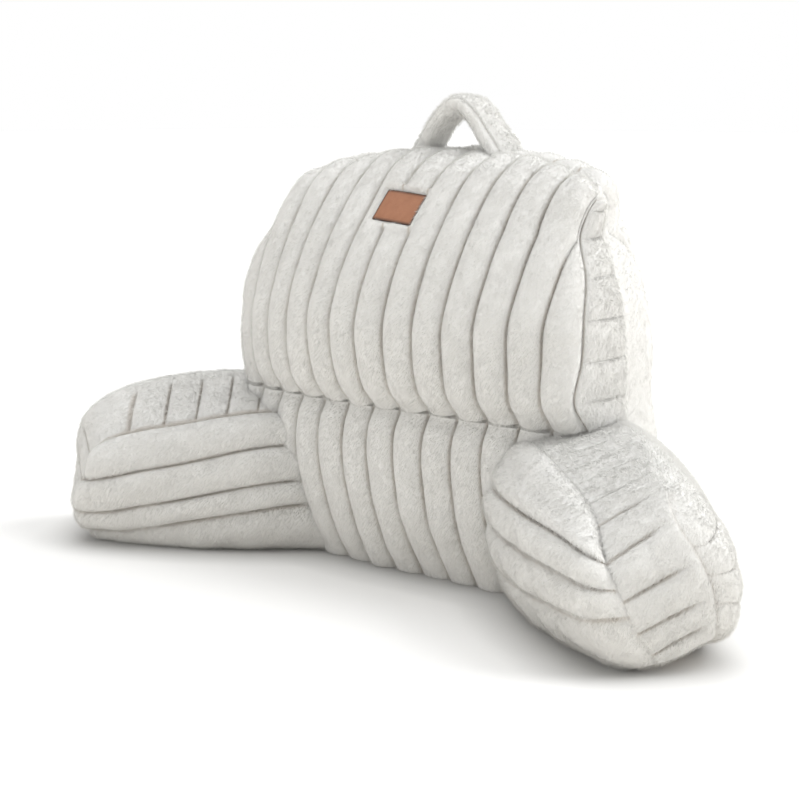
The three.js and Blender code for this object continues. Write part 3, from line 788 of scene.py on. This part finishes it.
# The strap's middle line from end to end over the crown seam, and its width: it is folded narrower on the
# left.
HANDLE_LINE = np.array([
    (-66, 438, 32),
    (-52, 458, 31),
    (-38, 477, 33),
    (-24, 492, 39),
    (-9, 503, 46),
    (7, 506, 50),
    (22, 497, 51),
    (37, 480, 51),
    (52, 460, 51),
    (64, 438, 51),
], dtype=float)
HANDLE_Y = 98.0
HANDLE_THICK = 20.0
HANDLE_SEAM = 1.6          # how deep the seam along the strap's front edge is
HANDLE_SEAM_TURN = 2.5     # and where it lies round the strap, in radians from the back
HANDLE_SEAM_WIDTH = 0.16   # and how wide it is, in radians


def handle_grids():
    """A padded strap along its line, with a rounded section and a seam along its front edge."""
    rows = np.linspace(0, len(HANDLE_LINE) - 1, 91)
    line = table_at(HANDLE_LINE, ("x", "z", "width"), rows)
    centre = np.stack([line["x"], np.full(len(rows), HANDLE_Y), line["z"]], axis=-1)
    along = unit(np.gradient(centre, axis=0))
    across = np.array([0.0, 1.0, 0.0])
    out = np.cross(along, across)
    turn = np.linspace(0, 2 * math.pi, 61)
    from_seam = (turn - HANDLE_SEAM_TURN) / HANDLE_SEAM_WIDTH
    drawn_in = 1 - HANDLE_SEAM / (HANDLE_THICK / 2) * np.exp(-from_seam**2)
    width = np.sign(np.cos(turn)) * np.abs(np.cos(turn)) ** 0.7 * drawn_in * line["width"][:, None] / 2
    thick = np.sign(np.sin(turn)) * np.abs(np.sin(turn)) ** 0.8 * drawn_in * HANDLE_THICK / 2
    section = width[..., None] * across + thick[None, :, None] * out[:, None]
    points = centre[:, None] + section
    points += 1.0 * ripples(points, 22, 61)
    points[:, -1] = points[:, 0]
    # Painted shade along the seam of the strap's front edge.
    tone = np.broadcast_to(1 - 0.65 * np.exp(-from_seam**2), points.shape[:2])
    return [(points, tone, True)]


def patch_grids():
    """The patch, sunk into the plush between the channels' crests and following the roll."""
    u, v = grid(np.linspace(0, 1, 34), np.linspace(0, 1, 22))
    x, level = patch_place((u - 0.5) * PATCH_WIDTH, (v - 0.5) * PATCH_HEIGHT)
    sheet_v = 0.5 * level / TOP_LEVEL
    base = cushion_sheet(x / half_at(sheet_v), sheet_v)
    inset = np.minimum(np.minimum(u, 1 - u) * PATCH_WIDTH, np.minimum(v, 1 - v) * PATCH_HEIGHT)
    bow = 0.5 * np.minimum(1, inset / 6)
    under = raise_grid(base, np.full(u.shape, PATCH_BED + 0.4))
    upper = raise_grid(base, PATCH_BED + 0.4 + PATCH_THICK + bow)
    tone = np.clip(inset / 3.0, 0, 1)
    return slab_grids(under, upper, tone, False)


# Pile --------------------------------------------------------------------------------------------------

PILE_LENGTH = 5.6
PILE_WIDTH = 0.5
BRUSHED = np.array([0.0, -0.9, -1.0])    # the way the nap has been stroked

# Shares of a blade's heading: up from the cloth, along the nap, with its tuft, with the long waves of the
# nap, and its own way.
STAND = 0.42
LEAN = 0.60
TUFT = 0.06
WAVE = 0.08
STRAY = 0.08
LEAST_STAND = 0.32         # no blade lies flatter than this
TWIST = 0.14               # how much the blades' flat sides turn
ROOT_TONE = 0.9            # tone of a blade's root, as a share of the cloth's there: painted shade at the roots


def cell_areas(points):
    """Areas of the cells of a grid of points, from their diagonals."""
    rising = points[1:, 1:] - points[:-1, :-1]
    falling = points[:-1, 1:] - points[1:, :-1]
    return np.linalg.norm(np.cross(rising, falling), axis=-1) / 2


def scattered(sheets, count, rng):
    """Roots spread evenly on sheets, each (points, tone, outward), with their normals and tones."""
    cells = [cell_areas(points) for points, _, _ in sheets]
    total = sum(area.sum() for area in cells)
    roots, normals, tones = [], [], []
    for (points, tone, outward), area in zip(sheets, cells):
        number = int(count * (area.sum() / total))
        facing = grid_normals(points) * outward
        picks = np.searchsorted(np.cumsum(area.ravel()) / area.sum(), rng.random(number))
        i, j = np.unravel_index(np.minimum(picks, area.size - 1), area.shape)
        s, t = rng.random(number), rng.random(number)
        weights = ((1 - s) * (1 - t), s * (1 - t), s * t, (1 - s) * t)
        corners = ((i, j), (i + 1, j), (i + 1, j + 1), (i, j + 1))
        tone = np.broadcast_to(tone, points.shape[:2])
        roots.append(sum(w[:, None] * points[at] for w, at in zip(weights, corners)))
        normals.append(unit(sum(w[:, None] * facing[at] for w, at in zip(weights, corners))))
        tones.append(sum(w * tone[at] for w, at in zip(weights, corners)))
    return np.concatenate(roots), np.concatenate(normals), np.concatenate(tones)


def pile_headings(root, normal, seed, rng):
    """Which way the blades point: with the nap, in tufts, each a little its own way."""
    down = unit(BRUSHED - normal * (normal @ BRUSHED)[:, None])
    tuft = ripples(root, 9, seed + 1)
    nap = ripples(root, 60, seed + 9)
    stray = rng.normal(size=root.shape)
    heading = unit(STAND * normal + LEAN * down + TUFT * tuft + WAVE * nap + STRAY * stray)
    low = (heading * normal).sum(axis=-1)
    return unit(heading + normal * np.maximum(0, LEAST_STAND - low)[:, None])


def pile_object(name, sheets, count, seed, hidden=None, length=PILE_LENGTH, width=PILE_WIDTH):
    """Short fibres as thin blades on sheets, without those whose roots are hidden."""
    rng = np.random.default_rng(seed)
    root, normal, tone = scattered(sheets, count, rng)
    if hidden is not None:
        shown = ~hidden(root)
        root, normal, tone = root[shown], normal[shown], tone[shown]
    number = len(root)
    heading = pile_headings(root, normal, seed, rng)
    side = unit(np.cross(heading, normal + TWIST * rng.normal(size=(number, 3))))
    size = length * rng.uniform(0.65, 1.15, number)[:, None]
    half = width * rng.uniform(0.35, 0.65, number)[:, None]
    sunk = root - 0.4 * normal
    vertices = np.stack([sunk - side * half, sunk + side * half, root + heading * size], axis=1)
    vertices[..., 2] = np.maximum(0.1, vertices[..., 2])
    faces = np.arange(3 * number).reshape(-1, 3)
    # Painted shade: each blade darker at its root than at its tip.
    tones = np.stack([ROOT_TONE * tone, ROOT_TONE * tone, 0.3 + 0.7 * tone], axis=1).reshape(-1)
    return mesh_object(name, lay(vertices.reshape(-1, 3)), faces, tones, fibres, smooth=False)


def surface_tree(piece):
    mesh = piece.data
    vertices = [v.co.copy() for v in mesh.vertices]
    return BVHTree.FromPolygons(vertices, [tuple(p.vertices) for p in mesh.polygons])


def inside_test(piece, depth):
    """True for points that lie deeper than depth inside a closed piece."""
    tree = surface_tree(piece)

    def test(points):
        result = np.zeros(len(points), dtype=bool)
        for i, point in enumerate(lay(points)):
            place = Vector(point)
            near, normal, _, distance = tree.find_nearest(place)
            result[i] = (place - near).dot(normal) < 0 and distance > depth * MM
        return result
    return test


def near_test(piece, reach):
    """True for points within reach of a piece."""
    tree = surface_tree(piece)

    def test(points):
        near = [tree.find_nearest(Vector(point), reach * MM)[0] for point in lay(points)]
        return np.array([place is not None for place in near])
    return test


# Assembly ----------------------------------------------------------------------------------------------

def own(piece, *nodes, fill=None, slot="plush"):
    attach(piece, "root")
    if nodes:
        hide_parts(*nodes)


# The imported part's origin is the middle of its footprint, and this far from that of the tables above.
sheet_points, _ = cushion_grid()
MIDDLE_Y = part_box("back_cushion")[1].y / MM - sheet_points[..., 1].max()

plush = plush_material("plush", 0.5)
fibres = plush_material("plush_fibres", 0)
leather = leather_material()

patch = grids_object("patch", patch_grids(), leather)
own(patch, "leather_patch", slot="leather")
on_patch = near_test(patch, 1.5)

cushion_parts = cushion_grids()
cushion = grids_object("cushion_body", cushion_parts, plush)
own(cushion, "back_cushion", fill=0.8)
in_cushion = inside_test(cushion, 1.0)

sheet, tone, _ = cushion_parts[0]
crown_row = sheet.shape[1] // 2
front = (sheet[:, :crown_row + 1], tone[:, :crown_row + 1], 1)
back = (sheet[:, crown_row:], tone[:, crown_row:], 1)
own(pile_object("cushion_front_pile", [front], count=190000, seed=100, hidden=on_patch))
own(pile_object("cushion_back_pile", [back], count=90000, seed=150))

for name, side in (("left", -1), ("right", 1)):
    gusset_parts = gusset_grids(side)
    gusset = grids_object(f"gusset_{name}", gusset_parts, plush)
    own(gusset, f"side_gusset_{name}", fill=0.7)
    own(pile_object(f"gusset_{name}_pile", [(*gusset_parts[0][:2], side)], count=24000, seed=200))

    arm_parts = arm_body_grids(name, side)
    arm = grids_object(f"arm_{name}_body", arm_parts, plush)
    own(arm, f"arm_{name}", fill=0.8)
    outward = [(points, tone, -1 if flip else 1) for points, tone, flip in arm_parts[:2]]
    own(pile_object(f"arm_{name}_pile", outward, count=110000, seed=300, hidden=in_cushion))

    band_parts = band_grids(name, side)
    band = grids_object(f"arm_{name}_band", band_parts, plush)
    own(band, f"arm_band_{name}", fill=0.7)
    points, tone, flip = band_parts[0]
    upper = (points, tone, -1 if flip else 1)
    own(pile_object(f"arm_{name}_band_pile", [upper], count=34000, seed=400, hidden=in_cushion))

handle_parts = handle_grids()
handle = grids_object("handle", handle_parts, plush)
own(handle, "carry_handle", fill=0.6)
strap = (*handle_parts[0][:2], -1)
own(pile_object("handle_pile", [strap], count=16000, seed=500, length=5.0, width=0.6))


# Floor, light and camera -------------------------------------------------------------------------------

WORLD_LIGHT = 0.47
WORLD_TINT = (1.0, 0.995, 0.98)
FLOOR_BOUNCE = (0.94, 0.91, 0.86)
FLOOR_SEEN = (0.94, 0.94, 0.935)
CONTACT_SHADOW = 0.06      # how far round the pillow the floor darkens under it
CONTACT_STRENGTH = 0.4     # and how much of that darkening shows
SUNS = {                   # direction that the light comes from, strength, and spread in degrees
    "key_light": ((-0.50, -0.80, 0.25), 0.40, 50),
    "top_light": ((0.0, 0.0, 1.0), 1.35, 60),
    "back_light": ((0.62, 0.45, 0.64), 1.9, 40),
}
CAMERA_AZIMUTH = math.radians(41.43)
CAMERA_ELEVATION = math.radians(9.77)
CAMERA_DISTANCE = 1.7999
CAMERA_LENS = 75.96
CAMERA_TARGET = Vector((0.0097, -0.0209 + MIDDLE_Y * MM, 0.195))


def camera_sees(nodes, links):
    """1 for rays that show a surface straight, in a gloss or through glass, else 0."""
    path = nodes.new("ShaderNodeLightPath")
    seen = path.outputs["Is Camera Ray"]
    for name in ("Is Glossy Ray", "Is Transmission Ray"):
        either = nodes.new("ShaderNodeMath")
        either.operation = "MAXIMUM"
        links.new(seen, either.inputs[0])
        links.new(path.outputs[name], either.inputs[1])
        seen = either.outputs[0]
    return seen


def floor_material():
    """White floor, a little warmer in the light that it throws back than it looks."""
    material, nodes, links = new_material("floor")
    shader = nodes["Principled BSDF"]
    # Painted shadow: the floor's colour darkens with ambient occlusion close round the pillow.
    contact = nodes.new("ShaderNodeAmbientOcclusion")
    contact.inputs["Color"].default_value = (*FLOOR_SEEN, 1)
    contact.inputs["Distance"].default_value = CONTACT_SHADOW
    floor = mix(nodes, links, CONTACT_STRENGTH, (*FLOOR_SEEN, 1), contact.outputs["Color"])
    shade = mix(nodes, links, camera_sees(nodes, links), (*FLOOR_BOUNCE, 1), floor)
    links.new(shade, shader.inputs["Base Color"])
    shader.inputs["Roughness"].default_value = 0.9
    shader.inputs["Specular IOR Level"].default_value = 0.1
    return material


def make_floor():
    bpy.ops.mesh.primitive_plane_add(size=60)
    floor = bpy.context.object
    floor.name = "floor"
    floor.data.materials.append(floor_material())


def make_world():
    world = bpy.data.worlds.new("studio")
    bpy.context.scene.world = world
    world.use_nodes = True
    nodes, links = world.node_tree.nodes, world.node_tree.links
    background = nodes["Background"]
    light = (*(WORLD_LIGHT * tint for tint in WORLD_TINT), 1)
    colour = mix(nodes, links, camera_sees(nodes, links), light, (1, 1, 1, 1))
    links.new(colour, background.inputs["Color"])


def add_sun(name, direction, strength, spread):
    """A wide soft light from a direction, as from a large window."""
    lamp = bpy.data.lights.new(name, "SUN")
    lamp.energy = strength
    lamp.angle = math.radians(spread)
    holder = bpy.data.objects.new(name, lamp)
    holder.rotation_euler = Vector(direction).to_track_quat("Z", "Y").to_euler()
    bpy.context.scene.collection.objects.link(holder)


def make_camera():
    back = Vector((
        math.sin(CAMERA_AZIMUTH) * math.cos(CAMERA_ELEVATION),
        -math.cos(CAMERA_AZIMUTH) * math.cos(CAMERA_ELEVATION),
        math.sin(CAMERA_ELEVATION),
    ))
    camera = bpy.data.cameras.new("camera")
    camera.lens = CAMERA_LENS
    camera.sensor_width = 36
    holder = bpy.data.objects.new("camera", camera)
    holder.location = CAMERA_TARGET + back * CAMERA_DISTANCE
    holder.rotation_mode = "QUATERNION"
    holder.rotation_quaternion = (-back).to_track_quat("-Z", "Y")
    bpy.context.scene.collection.objects.link(holder)
    bpy.context.scene.camera = holder


make_floor()
make_world()
for light_name, (direction, strength, spread) in SUNS.items():
    add_sun(light_name, direction, strength, spread)
make_camera()
bpy.context.scene.view_settings.view_transform = "Standard"
